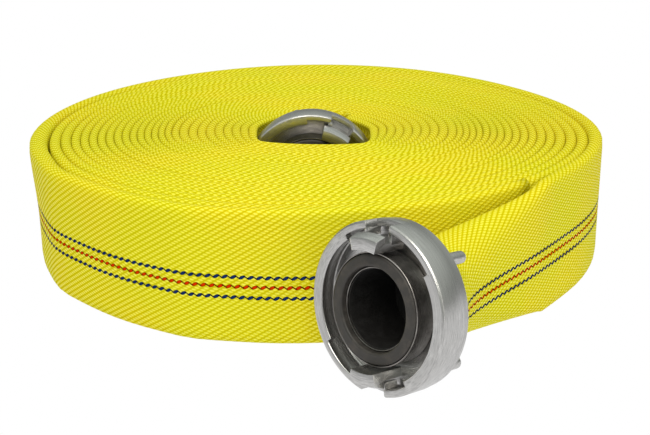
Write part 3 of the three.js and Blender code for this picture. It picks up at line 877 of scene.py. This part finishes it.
def jacket():
    """Yellow yarns in a steep twill, and the marker threads, on the hose's own weave map, with painted
    highlight on the yarn crests and painted shade in the valleys and at the threads' edges.
    """
    n = Nodes("woven_jacket")
    weave = n.add("ShaderNodeUVMap", uv_map="weave").outputs[0]
    u, v, _ = n.apart(weave)
    wander = n.noise(weave, 210, 1)
    drift = n.calc("MULTIPLY", n.calc("SUBTRACT", wander, 0.5), 0.5)
    slanted = n.calc("SUBTRACT", u, n.calc("MULTIPLY", v, WEFT_SLANT))
    p = n.calc("ADD", n.calc("DIVIDE", slanted, WEFT), drift)
    q = n.calc("ADD", n.calc("DIVIDE", v, WARP), drift)
    across = n.calc("SUBTRACT", p, q)
    along = n.calc("SUBTRACT", n.calc("ADD", p, q), n.calc("DIVIDE", across, 3))
    rib = n.calc("MULTIPLY_ADD", n.calc("COSINE", n.calc("MULTIPLY", across, 2 * math.pi / 3)), 0.5, 0.5)
    bead = n.calc("MULTIPLY_ADD", n.calc("COSINE", n.calc("MULTIPLY", along, math.pi)), 0.5, 0.5)
    height = n.calc("MULTIPLY", n.calc("POWER", rib, 0.7), n.calc("MULTIPLY_ADD", bead, 0.75, 0.25))

    patches = n.noise(n.place(), 14, 3)
    tone = n.ramp(patches, 0.35, 0.65)
    # Painted highlight and shade: the yarn crests get a lighter yellow and the valleys between the ribs a
    # darker one. The noise patches are random differences in tone.
    top = n.mix(tone, rgb(240, 229, 58), rgb(234, 229, 54))
    valley_with_painted_shade = n.mix(tone, rgb(204, 184, 4), rgb(197, 187, 6))
    colour = n.mix(n.ramp(height, 0.0, 0.65), valley_with_painted_shade, top)

    thread_mask = None
    for offset, thread_colour in THREADS:
        inside, fullness = marker_thread(n, u, v, offset)
        mask = n.ramp(inside, -0.1 * MM, 0.1 * MM)
        # Painted shade: the thread is darkened to 0.16 of its colour at its edges and along the thin links
        # between stitches.
        dark = tuple(c * 0.16 for c in thread_colour[:3]) + (1,)
        middle = n.calc("MINIMUM", n.ramp(inside, 0.05 * MM, 0.5 * MM), n.ramp(fullness, 0.2, 0.7))
        colour = n.mix(mask, colour, n.mix(middle, dark, thread_colour))
        thread_mask = mask if thread_mask is None else n.calc("MAXIMUM", thread_mask, mask)

    height = n.calc("MAXIMUM", height, n.calc("MULTIPLY", thread_mask, 0.9))
    n.set(Base_Color=colour, Roughness=n.ramp(height, 0.1, 0.9, 0.7, 0.45))
    shine = n.ramp(height, 0.3, 0.95, 0.0, 0.6)
    n.set(Specular_IOR_Level=n.calc("MULTIPLY", shine, n.calc("SUBTRACT", 1.0, thread_mask)))
    n.bump(height, 0.22 * MM)
    return n.material


def aluminium():
    """Turned castings: fine grain, and faint marks in rings round the coupling's axis."""
    n = Nodes("satin_aluminium")
    place = n.place()
    grain = n.noise(place, 2600, 2, 0.7)
    radius, y = n.from_axis(place)
    x, _, z = n.apart(place)
    marks = n.noise(n.together(radius, y, n.calc("MULTIPLY", n.calc("ADD", x, z), 0.05)), 2400, 3, 0.7)
    colour = n.mix(n.ramp(marks, 0.3, 0.7), rgb(160, 159, 158), rgb(202, 201, 199))
    n.set(Base_Color=colour, Metallic=1.0, Roughness=n.ramp(marks, 0.3, 0.7, 0.4, 0.26))
    n.bump(grain, 0.03 * MM)
    return n.material


def turned_aluminium():
    n = Nodes("turned_aluminium")
    place = n.place()
    radius, y = n.from_axis(place)
    marks = n.noise(n.together(radius, y, 0.0), 3200, 2, 0.7)
    spots = n.noise(place, 90, 4, 0.6)
    colour = n.mix(n.ramp(spots, 0.35, 0.7), rgb(118, 114, 110), rgb(164, 160, 156))
    n.set(Base_Color=colour, Metallic=1.0, Roughness=n.ramp(marks, 0.3, 0.7, 0.25, 0.42))
    n.bump(marks, 0.04 * MM)
    return n.material


def seal_rubber():
    n = Nodes("seal_rubber")
    place = n.place()
    dust = n.noise(place, 140, 4, 0.65)
    colour = n.mix(n.ramp(dust, 0.4, 0.75), rgb(44, 41, 38), rgb(68, 63, 58))
    n.set(Base_Color=colour, Roughness=n.ramp(dust, 0.3, 0.7, 0.5, 0.68))
    n.bump(n.noise(place, 1400, 2), 0.04 * MM)
    return n.material


def lining_rubber():
    n = Nodes("lining_rubber")
    place = n.place()
    n.set(Base_Color=rgb(26, 25, 24), Roughness=n.ramp(n.noise(place, 200, 3), 0.3, 0.7, 0.45, 0.65))
    n.bump(n.noise(place, 900, 2), 0.05 * MM)
    return n.material


def plain_metal(name, light, dark, low, high):
    n = Nodes(name)
    place = n.place()
    wear = n.noise(place, 180, 3, 0.6)
    n.set(Base_Color=n.mix(n.ramp(wear, 0.3, 0.7), dark, light), Metallic=1.0,
          Roughness=n.ramp(wear, 0.3, 0.7, low, high))
    n.bump(n.noise(place, 2200, 2), 0.015 * MM)
    return n.material


surfaces = {
    "hose_jacket": jacket(),
    "cast_aluminium": aluminium(),
    "seal_rubber": seal_rubber(),
    "lining_rubber": lining_rubber(),
    "spring_steel": plain_metal("spring_steel", rgb(176, 178, 182), rgb(120, 122, 128), 0.25, 0.4),
    "slide_brass": plain_metal("slide_brass", rgb(205, 170, 95), rgb(150, 118, 62), 0.28, 0.45),
    "binding_wire": plain_metal("binding_wire", rgb(196, 198, 200), rgb(140, 142, 146), 0.22, 0.38),
}
turned = turned_aluminium()


def put_on(obj, slot, body, *nodes, material=None):
    """Gives the piece its finish, the CAD body it rides on and the CAD nodes it stands for."""
    obj.data.materials.clear()
    obj.data.materials.append(material or surfaces[slot])
    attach(obj, body)
    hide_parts(*nodes)
    return obj


put_on(hose_turn, "hose_jacket", "hose", "hose_outer_turn", "outer_hose_neck")
put_on(hose_roll, "hose_jacket", "hose", "hose_roll", "inner_hose_neck")

meshes = {
    "lug_ring": (lug_ring_mesh(), "cast_aluminium"),
    "hose_tail": (lathe_mesh("hose_tail", TAIL_PROFILE), "cast_aluminium"),
    "face_seal": (lathe_mesh("face_seal", SEAL_PROFILE, sharp=60), "seal_rubber"),
    "slide_ring": (lathe_mesh("slide_ring", SLIDE_PROFILE), "slide_brass"),
    "snap_ring": (snap_ring_mesh(), "spring_steel"),
    "hose_lining": (lining_mesh(), "lining_rubber"),
    "binding_wire_front": (wire_mesh(27.4), "binding_wire"),
    "binding_wire_rear": (wire_mesh(33.4), "binding_wire"),
}
places = {
    "outer": (
        Matrix.Translation(OUTER_FACE * MM) @ Matrix.Rotation(math.radians(-OUTER_TILT), 4, "X"),
        0,
    ),
    "inner": (
        Matrix.Translation(INNER_FACE * MM) @ Matrix.Rotation(math.radians(INNER_YAW), 4, "Z"),
        INNER_RING_TURN,
    ),
}
coupling_pieces = {"outer": [], "inner": []}
for side, (place, ring_turn) in places.items():
    for part, (mesh, slot) in meshes.items():
        piece = bpy.data.objects.new(f"{side}_{part}_visual", mesh.copy())
        bpy.context.scene.collection.objects.link(piece)
        is_ring = part == "lug_ring"
        if is_ring:
            piece.data.transform(Matrix.Rotation(math.radians(ring_turn), 4, "Y"))
        piece.matrix_world = place
        put_on(piece, slot, f"{side}_ring" if is_ring else "hose", f"{side}_{part}",
               material=turned if part == "hose_tail" else None)
        coupling_pieces[side].append(piece)

# ---- stage ----


FLOOR_HALF = 6  # metres
FLOOR_DROP = 0.0002  # so that it doesn't flicker with the object's underside


def floor():
    mesh = bpy.data.meshes.new("floor")
    corners = [(x * FLOOR_HALF, y * FLOOR_HALF, 0) for x, y in ((-1, -1), (1, -1), (1, 1), (-1, 1))]
    mesh.from_pydata(corners, [], [(0, 1, 2, 3)])
    obj = bpy.data.objects.new("floor", mesh)
    bpy.context.scene.collection.objects.link(obj)
    n = Nodes("floor")
    n.set(Base_Color=rgb(0, 0, 0), Roughness=1.0, Emission_Color=rgb(255, 255, 255), Emission_Strength=1.0)
    n.shader.inputs["Specular IOR Level"].default_value = 0
    mesh.materials.append(n.material)
    obj.location.z = -FLOOR_DROP


def area_light(name, location, target, size, power, colour):
    data = bpy.data.lights.new(name, "AREA")
    data.shape = "RECTANGLE"
    data.size, data.size_y = size
    data.energy = power
    data.color = colour
    obj = bpy.data.objects.new(name, data)
    obj.location = location
    obj.rotation_mode = "QUATERNION"
    obj.rotation_quaternion = (Vector(target) - Vector(location)).to_track_quat("-Z", "Y")
    bpy.context.scene.collection.objects.link(obj)


floor()
world = bpy.data.worlds.new("studio")
world.use_nodes = True
sky = world.node_tree
background = sky.nodes["Background"]
height = sky.nodes.new("ShaderNodeSeparateXYZ")
sky.links.new(sky.nodes.new("ShaderNodeTexCoord").outputs["Generated"], height.inputs[0])
shade = sky.nodes.new("ShaderNodeMapRange")  # dark walls round the horizon, and a bright ceiling
shade.interpolation_type = "SMOOTHSTEP"
for value, socket in zip((0.0, 0.8, 0.22, 0.84), list(shade.inputs)[1:5]):
    socket.default_value = value
sky.links.new(height.outputs[2], shade.inputs[0])
is_seen = sky.nodes.new("ShaderNodeLightPath").outputs["Is Camera Ray"]
strength = sky.nodes.new("ShaderNodeMix")
sky.links.new(is_seen, strength.inputs[0])
sky.links.new(shade.outputs[0], strength.inputs[2])
strength.inputs[3].default_value = 1
sky.links.new(strength.outputs[0], background.inputs[1])
tint = sky.nodes.new("ShaderNodeMix")
tint.data_type = "RGBA"
sky.links.new(is_seen, tint.inputs[0])
tint.inputs[6].default_value = (0.94, 1, 0.93, 1)
tint.inputs[7].default_value = (1, 1, 1, 1)
sky.links.new(tint.outputs[2], background.inputs[0])
bpy.context.scene.world = world
bpy.context.scene.view_settings.view_transform = "Standard"

view_right = view_turn.to_3x3() @ Vector((1, 0, 0))
view_away = Vector((-view_right.y, view_right.x, 0))
centre = ROLL_CENTRE * MM
up = Vector((0, 0, 1))
warm = (1, 0.955, 0.88)
area_light("key", centre - view_right * 0.1 - view_away + up * 1.2, centre, (0.9, 0.9), 12.5, warm)
area_light("fill", centre + view_right * 1.1 - view_away * 1.1 + up * 0.6, centre, (0.6, 0.8), 3, warm)
